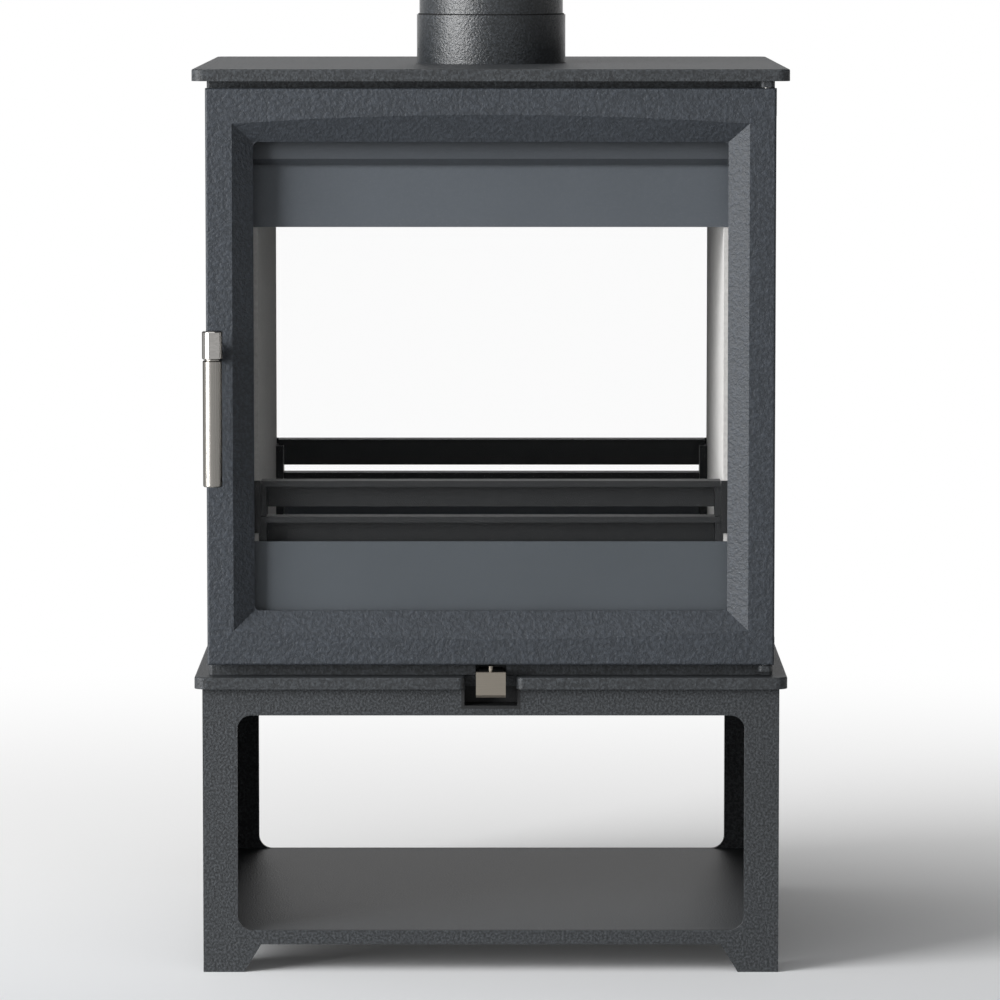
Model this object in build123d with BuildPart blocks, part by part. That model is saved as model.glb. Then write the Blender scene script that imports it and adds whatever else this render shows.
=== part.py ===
from build123d import *
import os

# A double-sided wood stove on a log store, built as its separate pieces.
# Millimetres. X runs to the right, Y from the front door to the rear door, Z up.
# The origin is the middle of the footprint, on the floor. The rear side is the
# front side turned half a turn about Z, so both doors are the same casting.

os.makedirs("parts", exist_ok=True)

# Top plate and store plate
plate_overhang_side = 12.0
plate_overhang_front = 20.0
plate_thickness = 10.0
plate_corner = 10.0
plate_edge = 1.5

# Log store
store_height = 242.0
store_inset_side = 6.7
store_inset_front = 7.0
store_sheet = 5.0
bay_post_width = 29.3
bay_floor = 35.7
bay_head = 23.0
bay_corner = 12.0
foot_height = 23.7
foot_width = 34.4
foot_slope = 14.5

# Stove body
body_height = 501.0
body_width = 476.0
body_depth = 430.0
side_sheet = 5.0
frame_thickness = 5.0
frame_edge = 3.0
frame_lap_side = 22.5
frame_lap_rail = 28.7
frame_corner = 2.0
base_thickness = 5.0

# Door casting
door_overhang = 0.5
door_top_gap = 6.0
door_thickness = 17.5
door_gap = 2.5
door_bottom_gap = 10.6
door_edge = 2.0
door_back_edge = 4.0
stile_width = 39.5
rail_height = 45.0
window_corner = 4.5
bevel_side = 17.3
bevel_rail = 15.7
bevel_rise = 7.4
bevel_depth = 11.5
lip_thickness = 1.0
glass_thickness = 4.0
glass_overlap = 8.0
glass_play = 0.6
tape_thickness = 1.0
tape_width = 8.0
rope_side_inset = 17.5
rope_rail_inset = 23.7
rope_width = 8.0
rope_play = 0.2
rope_groove_depth = 3.0
rope_standoff = 0.3

# Glass clips
clip_width = 16.0
clip_thickness = 2.0
clip_reach = 5.0
clip_foot = 8.5
clip_screw_inset = 5.0
clip_spacing = 160.0
clip_screw_radius = 2.0
clip_screw_length = 8.0
clip_head_radius = 3.0
clip_head_height = 2.0
thread_play = 0.03

# Hinges
pin_radius = 3.0
pin_play = 0.06
press_play = 0.02
pin_inset = 7.5
pin_engagement = 25.0
lug_thickness = 5.0
lug_gap = 0.8
lug_width = 11.0
lug_reach = 17.0
lug_corner = 3.0
hinge_boss_radius = 8.0
hinge_boss_height = 23.0

# Handle and latch
spindle_inset = 8.0
spindle_height = 264.4
spindle_radius = 4.0
spindle_neck_radius = 2.5
boss_radius = 7.9
boss_height = 6.0
hub_radius = 8.5
hub_height = 23.4
hub_standoff = 27.0
hub_outboard = 1.5
hub_below_spindle = 4.4
hub_edge = 0.8
grip_radius = 8.0
grip_length = 105.6
grip_neck_radius = 6.5
grip_neck_height = 1.0
grip_spigot_radius = 3.0
grip_spigot_length = 4.0
cam_radius = 4.2
cam_offset = 0.8
cam_thickness = 5.5
cam_gap = 0.5
cam_pocket_radius = 5.5
hub_bite = 4.0

# Firebox
brick_reveal = 20.0
brick_thickness = 25.0
brick_play = 0.3
baffle_drop = 88.6
baffle_sheet = 5.0
baffle_rest = 9.0
baffle_wall_height = 56.0
baffle_wall_inset = 14.0
throat_width = 32.0
throat_end = 51.0
throat_inset = 27.0
airwash_sheet = 2.0
airwash_drop = 35.9
airwash_lap = 16.0
airwash_turn = 5.0

# Log guard
guard_front_gap = 2.0
bar_end_gap = 2.2
bar_web_setback = 4.9
bar_thickness = 5.0
bar_height = 23.1
bar_depth = 20.0
bar_pitch = 30.3
guard_height = 125.0
bracket_front_height = 44.3
bracket_edge_play = 2.3
bracket_leg_depth = 30.0
retainer_height = 73.7
retainer_thickness = 3.0
retainer_play = 2.0

# Grate and ash pan
pan_headroom = 2.7
deck_thickness = 8.0
deck_skirt = 8.0
grate_width = 250.0
grate_depth = 220.0
grate_thickness = 10.0
grate_seat = 4.0
grate_ledge = 8.0
grate_play = 0.5
grate_slots = 9
grate_slot_width = 12.0
grate_margin = 16.0
pan_width = 290.0
pan_end_room = 40.0
pan_height = 28.0
pan_wall = 1.5
pan_tunnel_play = 4.0
pan_pull_width = 60.0
pan_pull_depth = 14.0

# Air control
slide_width = 20.0
slide_thickness = 4.5
slot_side_play = 3.0
slot_height = 11.0
knob_width = 25.0
slide_play = 0.3
slide_travel = 25.0
knob_standout = 23.0
knob_thickness = 6.0
knob_height = 21.5
knob_chamfer = 2.2
knob_drop = 0.0
stud_bottom_radius = 1.6
stud_top_radius = 2.0
stud_height = 5.0
damper_width = 80.0
damper_depth = 60.0
slide_length = 142.0
vent_setback = 20.0
floor_vent_setback = 20.0
vent_length = 60.0
vent_width = 14.0
guide_leg = 5.0
guide_top = 3.0
guide_depth = 14.0
guide_setback = 6.0
finger_room = 9.0
notch_depth = 23.0
notch_corner = 6.0
tray_side_room = 3.5
tray_depth = 28.0
tray_sheet = 2.7
tray_drop = 17.4

# Flue
pipe_radius = 62.5
pipe_wall = 1.5
pipe_swage = 0.3
pipe_play = 0.0
pipe_above_collar = 45.0
collar_wall = 2.2
collar_height = 42.0
collar_ledge = 3.0
flue_hole_radius = 58.0
collar_mouth = 1.2

# Sizes, levels and planes worked out from the sizes above
plate_width = body_width + 2 * plate_overhang_side
plate_depth = body_depth + 2 * plate_overhang_front
store_width = plate_width - 2 * store_inset_side
store_depth = plate_depth - 2 * store_inset_front
bay_width = store_width - 2 * bay_post_width
bay_top = store_height - bay_head
tray_bottom = store_height - tray_drop
notch_width = knob_width + 2 * finger_room
tray_width = notch_width + 2 * tray_side_room
slot_width = slide_width + 2 * slot_side_play
door_width = body_width + 2 * door_overhang
door_height = body_height - door_bottom_gap - door_top_gap
frame_opening_width = door_width - 2 * frame_lap_side
frame_opening_height = door_height - 2 * frame_lap_rail
window_width = door_width - 2 * stile_width
window_height = door_height - 2 * rail_height
store_plate_top = store_height + plate_thickness
body_top = store_plate_top + body_height
overall_top = body_top + plate_thickness
body_middle = store_plate_top + body_height / 2
frame_face = body_depth / 2
frame_back = frame_face - frame_thickness
door_back = frame_face + door_gap
door_face = door_back + door_thickness
door_bottom = store_plate_top + door_bottom_gap
door_top = door_bottom + door_height
door_middle = (door_bottom + door_top) / 2
opening_bottom = door_middle - frame_opening_height / 2
opening_top = door_middle + frame_opening_height / 2
side_inner = body_width / 2 - side_sheet
lip_back = door_face - bevel_depth - lip_thickness
glass_width = window_width + 2 * glass_overlap
glass_height = window_height + 2 * glass_overlap
glass_front = lip_back - tape_thickness
glass_back = glass_front - glass_thickness
pin_x = door_width / 2 - pin_inset
pin_y = (door_back + door_face) / 2
spindle_x = -(door_width / 2 - spindle_inset)
spindle_z = door_bottom + spindle_height
hub_x = spindle_x - hub_outboard
hub_y = door_face + hub_standoff
base_top = opening_bottom
brick_face = frame_opening_width / 2 - brick_reveal
brick_top = opening_top - baffle_drop
baffle_width = 2 * (brick_face + baffle_rest)
baffle_wall = frame_face - baffle_wall_inset
throat_length = 2 * (baffle_wall - throat_end)
airwash_bottom = opening_top - airwash_drop
bar_top = base_top + guard_height
bar_length = 2 * (brick_face - bar_end_gap)
bar_web_length = bar_length - 2 * bar_web_setback
bracket_front_width = (frame_opening_width - bar_length) / 2 - slide_play - bracket_edge_play
retainer_top = base_top + retainer_height
retainer_width = frame_opening_width - 2 * retainer_play
deck_top = base_top + pan_height + pan_headroom + deck_thickness
pan_depth = 2 * (frame_back - pan_end_room)
knob_front = frame_face + knob_standout
damper_back = knob_front - knob_thickness - slide_length
floor_vent_y = frame_back - floor_vent_setback

sides = {"front": 0, "rear": 180}


def write_on_both_sides(part, name):
    """Write the front piece and its twin, which is the same piece turned round."""
    for side, turn in sides.items():
        piece = part.rotate(Axis.Z, turn)
        piece.label = f"{side}_{name}"
        export_step(piece, f"parts/{side}_{name}.step")


# Log store: an open steel box of folded sheet, with a bay for logs and four feet


def footed_panel(half):
    """A plain panel with a foot at each end of its bottom edge."""
    Polygon(
        (-half, 0),
        (-half + foot_width, 0),
        (-half + foot_width + foot_slope, foot_height),
        (half - foot_width - foot_slope, foot_height),
        (half - foot_width, 0),
        (half, 0),
        (half, store_height),
        (-half, store_height),
        align=None,
    )


def store_end_outline():
    """The front or rear panel: a wide window, and a gap below it between the feet."""
    footed_panel(store_width / 2)
    with Locations((0, (bay_floor + bay_top) / 2)):
        RectangleRounded(bay_width, bay_top - bay_floor, bay_corner, mode=Mode.SUBTRACT)


with BuildPart() as store_front_panel:
    with BuildSketch(Plane.XZ.offset(store_depth / 2 - store_sheet)):
        store_end_outline()
        with Locations((0, store_height)):
            Rectangle(tray_width, 2 * (store_height - tray_bottom), mode=Mode.SUBTRACT)
    extrude(amount=store_sheet)
store_front_panel.part.label = "store_front_panel"
export_step(store_front_panel.part, "parts/store_front_panel.step")

with BuildPart() as store_rear_panel:
    with BuildSketch(Plane.XZ.offset(-store_depth / 2)):
        store_end_outline()
    extrude(amount=store_sheet)
store_rear_panel.part.label = "store_rear_panel"
export_step(store_rear_panel.part, "parts/store_rear_panel.step")

store_inner_depth = store_depth - 2 * store_sheet
with BuildPart() as store_side:
    with BuildSketch(Plane.YZ.offset(store_width / 2 - store_sheet)):
        footed_panel(store_inner_depth / 2)
    extrude(amount=store_sheet)
for hand, turn in {"right": 0, "left": 180}.items():
    store_side_panel = store_side.part.rotate(Axis.Z, turn)
    store_side_panel.label = f"store_{hand}_side"
    export_step(store_side_panel, f"parts/store_{hand}_side.step")

with BuildPart() as store_floor:
    with BuildSketch(Plane.XY.offset(bay_floor - store_sheet)):
        Rectangle(store_width - 2 * store_sheet, store_inner_depth)
    extrude(amount=store_sheet)
store_floor.part.label = "store_floor"
export_step(store_floor.part, "parts/store_floor.step")

# The damper's vent lines up with the plate's when the air slide is pulled out
damper_vent_y = -damper_back - vent_setback
with BuildPart() as store_top_plate:
    with BuildSketch(Plane.XY.offset(store_height)) as store_plate_outline:
        RectangleRounded(plate_width, plate_depth, plate_corner)
        with Locations((0, -plate_depth / 2)):
            Rectangle(notch_width, 2 * notch_depth, mode=Mode.SUBTRACT)
        mouth = store_plate_outline.vertices().group_by(Axis.Y)[0].sort_by(Axis.X)[1:3]
        fillet(mouth, radius=notch_corner)
        with Locations((0, damper_vent_y - slide_travel)):
            SlotOverall(vent_length, vent_width, mode=Mode.SUBTRACT)
    extrude(amount=plate_thickness)
    rim = store_top_plate.faces().sort_by(Axis.Z)[-1].outer_wire().edges()
    fillet(rim, radius=plate_edge)
store_top_plate.part.label = "store_top_plate"
export_step(store_top_plate.part, "parts/store_top_plate.step")

# Black tray behind the notch, which gives fingers room round the air knob
with BuildPart() as air_tray:
    with BuildSketch(Plane.XY.offset(tray_bottom)):
        with Locations((0, -store_depth / 2 + tray_depth / 2)):
            Rectangle(tray_width, tray_depth)
    extrude(amount=store_height - tray_bottom)
    open_faces = air_tray.faces().sort_by(Axis.Z)[-1:] + air_tray.faces().sort_by(Axis.Y)[:1]
    offset(amount=-tray_sheet, openings=open_faces)
air_tray.part.label = "air_tray"
export_step(air_tray.part, "parts/air_tray.step")

# Stove body: two face frames, two sides and a base between them


def face_frame(has_slide_slot):
    """A face frame with its welded hinge lugs and a pocket for the latch cam."""
    with BuildPart() as frame:
        with BuildSketch(Plane.XZ.offset(frame_back)):
            with Locations((0, body_middle)):
                Rectangle(body_width, body_height)
            with Locations((0, door_middle)):
                RectangleRounded(frame_opening_width, frame_opening_height, frame_corner, mode=Mode.SUBTRACT)
            with Locations((spindle_x, spindle_z)):
                Circle(cam_pocket_radius, mode=Mode.SUBTRACT)
            if has_slide_slot:
                with Locations((0, store_plate_top)):
                    Rectangle(slot_width, 2 * slot_height, mode=Mode.SUBTRACT)
        extrude(amount=frame_thickness)
        outer_edges = frame.edges().filter_by(Axis.Z).group_by(Axis.Y)[0].sort_by(Axis.X)
        fillet([outer_edges[0], outer_edges[-1]], radius=frame_edge)

        lug_depth = lug_reach + frame_thickness / 2
        lug_middle = -(frame_face + lug_reach - lug_depth / 2)
        for lug_bottom in (door_top + lug_gap, door_bottom - lug_gap - lug_thickness):
            with BuildSketch(Plane.XY.offset(lug_bottom)) as lug:
                with Locations((pin_x, lug_middle)):
                    Rectangle(lug_width, lug_depth)
                fillet(lug.vertices().group_by(Axis.Y)[0], radius=lug_corner)
                with Locations((pin_x, -pin_y)):
                    Circle(pin_radius + press_play, mode=Mode.SUBTRACT)
            extrude(amount=lug_thickness)
    return frame.part


for side, turn in sides.items():
    frame_piece = face_frame(has_slide_slot=side == "front").rotate(Axis.Z, turn)
    frame_piece.label = f"{side}_frame"
    export_step(frame_piece, f"parts/{side}_frame.step")

with BuildPart() as side_panel:
    with BuildSketch(Plane.YZ.offset(side_inner)):
        with Locations((0, body_middle)):
            Rectangle(2 * frame_back, body_height)
    extrude(amount=side_sheet)
for hand, turn in {"right": 0, "left": 180}.items():
    body_side = side_panel.part.rotate(Axis.Z, turn)
    body_side.label = f"{hand}_side_panel"
    export_step(body_side, f"parts/{hand}_side_panel.step")

with BuildPart() as firebox_base:
    with BuildSketch(Plane.XY.offset(base_top - base_thickness)):
        Rectangle(2 * side_inner, 2 * frame_back)
        with GridLocations(0, 2 * floor_vent_y, 1, 2):
            SlotOverall(vent_length, vent_width, mode=Mode.SUBTRACT)
    extrude(amount=base_thickness)
firebox_base.part.label = "firebox_base"
export_step(firebox_base.part, "parts/firebox_base.step")

# Top plate with the flue hole, the collar on it and a length of pipe in the collar
with BuildPart() as top_plate:
    with BuildSketch(Plane.XY.offset(body_top)):
        RectangleRounded(plate_width, plate_depth, plate_corner)
        Circle(flue_hole_radius, mode=Mode.SUBTRACT)
    extrude(amount=plate_thickness)
    fillet(top_plate.faces().sort_by(Axis.Z)[-1].outer_wire().edges(), radius=plate_edge)
top_plate.part.label = "top_plate"
export_step(top_plate.part, "parts/top_plate.step")

collar_inner = pipe_radius + pipe_play
with BuildPart() as flue_collar:
    with BuildSketch(Plane.XZ):
        with BuildLine():
            Polyline(
                (flue_hole_radius, overall_top),
                (collar_inner + collar_wall, overall_top),
                (collar_inner + collar_wall, overall_top + collar_height),
                (collar_inner + collar_mouth, overall_top + collar_height),
                (collar_inner, overall_top + collar_height - collar_mouth),
                (collar_inner, overall_top + collar_ledge),
                (flue_hole_radius, overall_top + collar_ledge),
                close=True,
            )
        make_face()
    revolve(axis=Axis.Z)
flue_collar.part.label = "flue_collar"
export_step(flue_collar.part, "parts/flue_collar.step")

pipe_bottom = overall_top + collar_ledge
pipe_top = overall_top + collar_height + pipe_above_collar
with BuildPart() as flue_pipe:
    with BuildSketch(Plane.XY.offset(pipe_bottom)):
        Circle(pipe_radius - pipe_swage)
    extrude(amount=collar_height - collar_ledge)
    with BuildSketch(Plane.XY.offset(overall_top + collar_height)):
        Circle(pipe_radius)
    extrude(amount=pipe_above_collar)
    with BuildSketch(Plane.XY.offset(pipe_bottom)):
        Circle(pipe_radius - pipe_wall)
    extrude(amount=pipe_top - pipe_bottom, mode=Mode.SUBTRACT)
flue_pipe.part.label = "flue_pipe"
export_step(flue_pipe.part, "parts/flue_pipe.step")

# Firebox linings: a brick down each side carries the baffle on top
with BuildPart() as side_brick:
    with BuildSketch(Plane.YZ.offset(brick_face)):
        with Locations((0, (base_top + brick_top) / 2)):
            Rectangle(2 * (frame_back - brick_play), brick_top - base_top)
    extrude(amount=brick_thickness)
for hand, turn in {"right": 0, "left": 180}.items():
    brick = side_brick.part.rotate(Axis.Z, turn)
    brick.label = f"{hand}_side_brick"
    export_step(brick, f"parts/{hand}_side_brick.step")

throat_x = baffle_width / 2 - throat_inset - throat_width / 2
with BuildPart() as baffle:
    with BuildSketch(Plane.XY.offset(brick_top)):
        Rectangle(baffle_width, 2 * baffle_wall)
        with GridLocations(2 * throat_x, 0, 2, 1):
            Rectangle(throat_width, throat_length, mode=Mode.SUBTRACT)
    extrude(amount=baffle_sheet)
    with BuildSketch(Plane.XY.offset(brick_top)):
        with GridLocations(0, 2 * baffle_wall - baffle_sheet, 1, 2):
            Rectangle(baffle_width, baffle_sheet)
    extrude(amount=baffle_wall_height)
baffle.part.label = "baffle"
export_step(baffle.part, "parts/baffle.step")

# Bent strip that turns the incoming air down over the glass
airwash_width = frame_opening_width + airwash_lap
with BuildPart() as airwash_plate:
    with BuildSketch(Plane.YZ.offset(-airwash_width / 2)):
        with BuildLine():
            Polyline(
                (-frame_back, opening_top + airwash_lap),
                (-frame_back, airwash_bottom + airwash_turn),
                (-frame_back + airwash_turn, airwash_bottom),
                (-frame_back + airwash_turn + airwash_sheet, airwash_bottom),
                (-frame_back + airwash_sheet, airwash_bottom + airwash_turn),
                (-frame_back + airwash_sheet, opening_top + airwash_lap),
                close=True,
            )
        make_face()
    extrude(amount=airwash_width)
write_on_both_sides(airwash_plate.part, "airwash_plate")

# Log guard: two bars in a pair of brackets, over a retainer plate
guard_face = frame_face - guard_front_gap
bar_bottom = bar_top - bar_height


def guard_bar(top):
    """An angle bar: a flange that reaches to the glass, with a web under its inner edge."""
    with BuildPart() as bar:
        with BuildSketch(Plane.XY.offset(top - bar_thickness)):
            with Locations((0, -guard_face + bar_depth / 2)):
                Rectangle(bar_length, bar_depth)
        extrude(amount=bar_thickness)
        with BuildSketch(Plane.XY.offset(top - bar_height)):
            with Locations((0, -guard_face + bar_depth - bar_thickness / 2)):
                Rectangle(bar_web_length, bar_thickness)
        extrude(amount=bar_height - bar_thickness)
    return bar.part


write_on_both_sides(guard_bar(bar_top), "upper_guard_bar")
write_on_both_sides(guard_bar(bar_top - bar_pitch), "lower_guard_bar")

bracket_leg_inner = bar_web_length / 2 + slide_play
with BuildPart() as guard_brackets:
    for hand in (-1, 1):
        leg_outer = brick_face - slide_play
        with BuildSketch(Plane.YZ.offset(hand * bracket_leg_inner)):
            with Locations((-frame_back + bracket_leg_depth / 2, (base_top + bar_top - bar_thickness) / 2)):
                Rectangle(bracket_leg_depth, bar_top - bar_thickness - base_top)
            with Locations((-frame_back, bar_top - bar_pitch - bar_thickness)):
                Rectangle(
                    2 * (bar_depth - retainer_thickness + slide_play),
                    bar_thickness + slide_play,
                    align=(Align.CENTER, Align.MIN),
                    mode=Mode.SUBTRACT,
                )
        extrude(amount=hand * (leg_outer - bracket_leg_inner))
        with BuildSketch(Plane.XZ.offset(frame_back)):
            front_middle = bar_length / 2 + slide_play + bracket_front_width / 2
            with Locations((hand * front_middle, bar_top - bracket_front_height / 2)):
                Rectangle(bracket_front_width, bracket_front_height)
        extrude(amount=retainer_thickness)
write_on_both_sides(guard_brackets.part, "guard_brackets")

with BuildPart() as retainer:
    with BuildSketch(Plane.XZ.offset(frame_back)):
        with Locations((0, (base_top + retainer_top) / 2)):
            Rectangle(retainer_width, retainer_top - base_top)
    extrude(amount=retainer_thickness)
write_on_both_sides(retainer.part, "log_retainer")

# Grate on its deck, over the ash pan
tunnel_half = pan_width / 2 + pan_tunnel_play
deck_length = 2 * (frame_back - bracket_leg_depth - slide_play)
with BuildPart() as grate_deck:
    with BuildSketch(Plane.XY.offset(deck_top - deck_thickness)):
        Rectangle(2 * (brick_face - slide_play), deck_length)
        Rectangle(grate_width - 2 * grate_ledge, grate_depth - 2 * grate_ledge, mode=Mode.SUBTRACT)
    extrude(amount=deck_thickness)
    with BuildSketch(Plane.XY.offset(deck_top - grate_seat)):
        Rectangle(grate_width, grate_depth)
    extrude(amount=grate_seat, mode=Mode.SUBTRACT)
    with BuildSketch(Plane.XY.offset(base_top)):
        with GridLocations(2 * tunnel_half + deck_skirt, 0, 2, 1):
            Rectangle(deck_skirt, deck_length)
    extrude(amount=deck_top - deck_thickness - base_top)
grate_deck.part.label = "grate_deck"
export_step(grate_deck.part, "parts/grate_deck.step")

grate_pitch = (grate_width - 2 * grate_margin) / grate_slots
with BuildPart() as grate:
    with BuildSketch(Plane.XY.offset(deck_top - grate_seat)):
        Rectangle(grate_width - 2 * grate_play, grate_depth - 2 * grate_play)
        with GridLocations(grate_pitch, 0, grate_slots, 1):
            SlotOverall(grate_depth - 2 * grate_margin, grate_slot_width, rotation=90, mode=Mode.SUBTRACT)
    extrude(amount=grate_thickness)
grate.part.label = "grate"
export_step(grate.part, "parts/grate.step")

with BuildPart() as ash_pan:
    with BuildSketch(Plane.XY.offset(base_top)):
        Rectangle(pan_width, pan_depth)
    extrude(amount=pan_height)
    offset(amount=-pan_wall, openings=ash_pan.faces().sort_by(Axis.Z)[-1])
    with BuildSketch(Plane.XY.offset(base_top + pan_height - pan_wall)):
        with Locations((0, -pan_depth / 2 - pan_pull_depth / 2)):
            Rectangle(pan_pull_width, pan_pull_depth)
    extrude(amount=pan_wall)
ash_pan.part.label = "ash_pan"
export_step(ash_pan.part, "parts/ash_pan.step")

# Air control: a slide on the store plate, with a damper at its inner end
slide_bottom = store_plate_top + slide_play
knob_top = slide_bottom + slide_thickness - knob_drop
with BuildPart() as air_slide:
    with BuildSketch(Plane.XY.offset(slide_bottom)):
        with Locations((0, -damper_back - slide_length / 2)):
            Rectangle(slide_width, slide_length)
        with Locations((0, -damper_back - damper_depth / 2)):
            RectangleRounded(damper_width, damper_depth, notch_corner)
        with Locations((0, damper_vent_y)):
            SlotOverall(vent_length, vent_width, mode=Mode.SUBTRACT)
    extrude(amount=slide_thickness)
air_slide.part.label = "air_slide"
export_step(air_slide.part, "parts/air_slide.step")

guide_outer = slide_width / 2 + slide_play + guide_leg
with BuildPart() as air_slide_guide:
    with BuildSketch(Plane.XZ.offset(frame_back - guide_setback - guide_depth)):
        with Locations((0, store_plate_top)):
            Rectangle(2 * guide_outer, slide_thickness + 2 * slide_play + guide_top, align=(Align.CENTER, Align.MIN))
            Rectangle(slide_width + 2 * slide_play, 2 * (slide_thickness + 2 * slide_play), mode=Mode.SUBTRACT)
    extrude(amount=guide_depth)
air_slide_guide.part.label = "air_slide_guide"
export_step(air_slide_guide.part, "parts/air_slide_guide.step")

with BuildPart() as air_knob:
    with BuildSketch(Plane.XZ.offset(knob_front - knob_thickness)):
        with Locations((0, knob_top - knob_height / 2)):
            Rectangle(knob_width, knob_height)
    extrude(amount=knob_thickness)
    bottom_front = air_knob.edges().filter_by(Axis.X).group_by(Axis.Y)[0].sort_by(Axis.Z)[0]
    chamfer(bottom_front, length=knob_chamfer)
air_knob.part.label = "air_knob"
export_step(air_knob.part, "parts/air_knob.step")

with BuildPart() as air_knob_stud:
    with BuildSketch(Plane.XY.offset(knob_top)):
        with Locations((0, -knob_front + knob_thickness / 2)):
            Circle(stud_bottom_radius)
    with BuildSketch(Plane.XY.offset(knob_top + stud_height)):
        with Locations((0, -knob_front + knob_thickness / 2)):
            Circle(stud_top_radius)
    loft()
air_knob_stud.part.label = "air_knob_stud"
export_step(air_knob_stud.part, "parts/air_knob_stud.step")

# Hinge pins, one down through the upper lug and one up through the lower lug
upper_lug_top = door_top + lug_gap + lug_thickness
lower_lug_bottom = door_bottom - lug_gap - lug_thickness
with BuildPart() as hinge_pins:
    for pin_start, pin_end in (
        (door_top - pin_engagement, upper_lug_top),
        (lower_lug_bottom, door_bottom + pin_engagement),
    ):
        with BuildSketch(Plane.XY.offset(pin_start)):
            with Locations((pin_x, -pin_y)):
                Circle(pin_radius)
        extrude(amount=pin_end - pin_start)
write_on_both_sides(hinge_pins.part, "hinge_pins")

# Door casting: a flat face, then a splayed reveal whose top and bottom edges bow out
rope_x = door_width / 2 - rope_side_inset
rope_z = door_height / 2 - rope_rail_inset
rope_slot = rope_width + 2 * rope_play


def rope_ring(width):
    """The closed run of the rope seal, as a flat ring of the given width."""
    RectangleRounded(2 * rope_x + width, 2 * rope_z + width, rope_width)
    RectangleRounded(2 * rope_x - width, 2 * rope_z - width, rope_width / 2, mode=Mode.SUBTRACT)


def clip_places(outward):
    """Four places on the upright sides, a distance outside the glass edge."""
    return GridLocations(glass_width + 2 * outward, clip_spacing, 2, 2)


door_plane = Plane.XZ.offset(door_back)
with BuildPart() as door_frame:
    with BuildSketch(door_plane):
        with Locations((0, door_middle)):
            Rectangle(door_width, door_height)
    extrude(amount=door_thickness)
    upright = door_frame.edges().filter_by(Axis.Z)
    fillet(upright.group_by(Axis.Y)[-1], radius=door_back_edge)
    fillet(door_frame.faces().sort_by(Axis.Y)[0].edges(), radius=door_edge)

    half_width = window_width / 2 + bevel_side
    half_height = window_height / 2 + bevel_rail
    with BuildSketch(Plane.XZ.offset(door_face)):
        with BuildLine():
            top_left = (-half_width, door_middle + half_height)
            top_right = (half_width, door_middle + half_height)
            bottom_left = (-half_width, door_middle - half_height)
            bottom_right = (half_width, door_middle - half_height)
            ThreePointArc(top_left, (0, door_middle + half_height + bevel_rise), top_right)
            Line(top_right, bottom_right)
            ThreePointArc(bottom_right, (0, door_middle - half_height - bevel_rise), bottom_left)
            Line(bottom_left, top_left)
        make_face()
    with BuildSketch(Plane.XZ.offset(door_face - bevel_depth)):
        with Locations((0, door_middle)):
            Rectangle(window_width, window_height)
    loft(ruled=True, mode=Mode.SUBTRACT)

    with BuildSketch(door_plane):
        with Locations((0, door_middle)):
            RectangleRounded(window_width, window_height, window_corner)
    extrude(amount=door_thickness, mode=Mode.SUBTRACT)
    with BuildSketch(door_plane):
        with Locations((0, door_middle)):
            RectangleRounded(glass_width + 2 * glass_play, glass_height + 2 * glass_play, window_corner)
    extrude(amount=lip_back - door_back, mode=Mode.SUBTRACT)
    with BuildSketch(door_plane):
        with Locations((0, door_middle)):
            rope_ring(rope_slot)
    extrude(amount=rope_groove_depth, mode=Mode.SUBTRACT)

    with BuildSketch(door_plane):
        with Locations((0, door_middle)):
            with clip_places(clip_screw_inset):
                Circle(clip_screw_radius + thread_play)
    extrude(amount=clip_screw_length, mode=Mode.SUBTRACT)

    with BuildSketch(Plane.XZ.offset(door_face - door_edge)):
        with Locations((spindle_x, spindle_z)):
            Circle(boss_radius)
    extrude(amount=boss_height + door_edge)
    with BuildSketch(door_plane):
        with Locations((spindle_x, spindle_z)):
            Circle(spindle_radius + pin_play)
    extrude(amount=door_thickness + boss_height, mode=Mode.SUBTRACT)

    for boss_bottom in (door_top - hinge_boss_height, door_bottom):
        with BuildSketch(Plane.XY.offset(boss_bottom)):
            with Locations((pin_x, -pin_y)):
                Circle(hinge_boss_radius)
        extrude(amount=hinge_boss_height)
    for bore_bottom in (door_top - pin_engagement - lug_gap, door_bottom):
        with BuildSketch(Plane.XY.offset(bore_bottom)):
            with Locations((pin_x, -pin_y)):
                Circle(pin_radius + pin_play)
        extrude(amount=pin_engagement + lug_gap, mode=Mode.SUBTRACT)
write_on_both_sides(door_frame.part, "door_frame")

with BuildPart() as door_glass:
    with BuildSketch(Plane.XZ.offset(glass_back)):
        with Locations((0, door_middle)):
            RectangleRounded(glass_width, glass_height, window_corner)
    extrude(amount=glass_thickness)
write_on_both_sides(door_glass.part, "door_glass")

with BuildPart() as glass_tape:
    with BuildSketch(Plane.XZ.offset(glass_front)):
        with Locations((0, door_middle)):
            RectangleRounded(glass_width, glass_height, window_corner)
            Rectangle(glass_width - 2 * tape_width, glass_height - 2 * tape_width, mode=Mode.SUBTRACT)
    extrude(amount=tape_thickness)
write_on_both_sides(glass_tape.part, "glass_tape")

with BuildPart() as door_rope:
    with BuildSketch(Plane.XZ.offset(frame_face + rope_standoff)):
        with Locations((0, door_middle)):
            rope_ring(rope_width)
    extrude(amount=door_gap - rope_standoff + rope_groove_depth)
write_on_both_sides(door_rope.part, "door_rope")

# Flat clips that hold the glass in its rebate, each with its screw
with BuildPart() as glass_clips:
    with BuildSketch(Plane.XZ.offset(door_back - clip_thickness)):
        with Locations((0, door_middle)):
            with clip_places((clip_foot - clip_reach) / 2):
                Rectangle(clip_foot + clip_reach, clip_width)
            with clip_places(clip_screw_inset):
                Circle(clip_screw_radius + thread_play, mode=Mode.SUBTRACT)
    extrude(amount=clip_thickness)
write_on_both_sides(glass_clips.part, "glass_clips")

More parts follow.
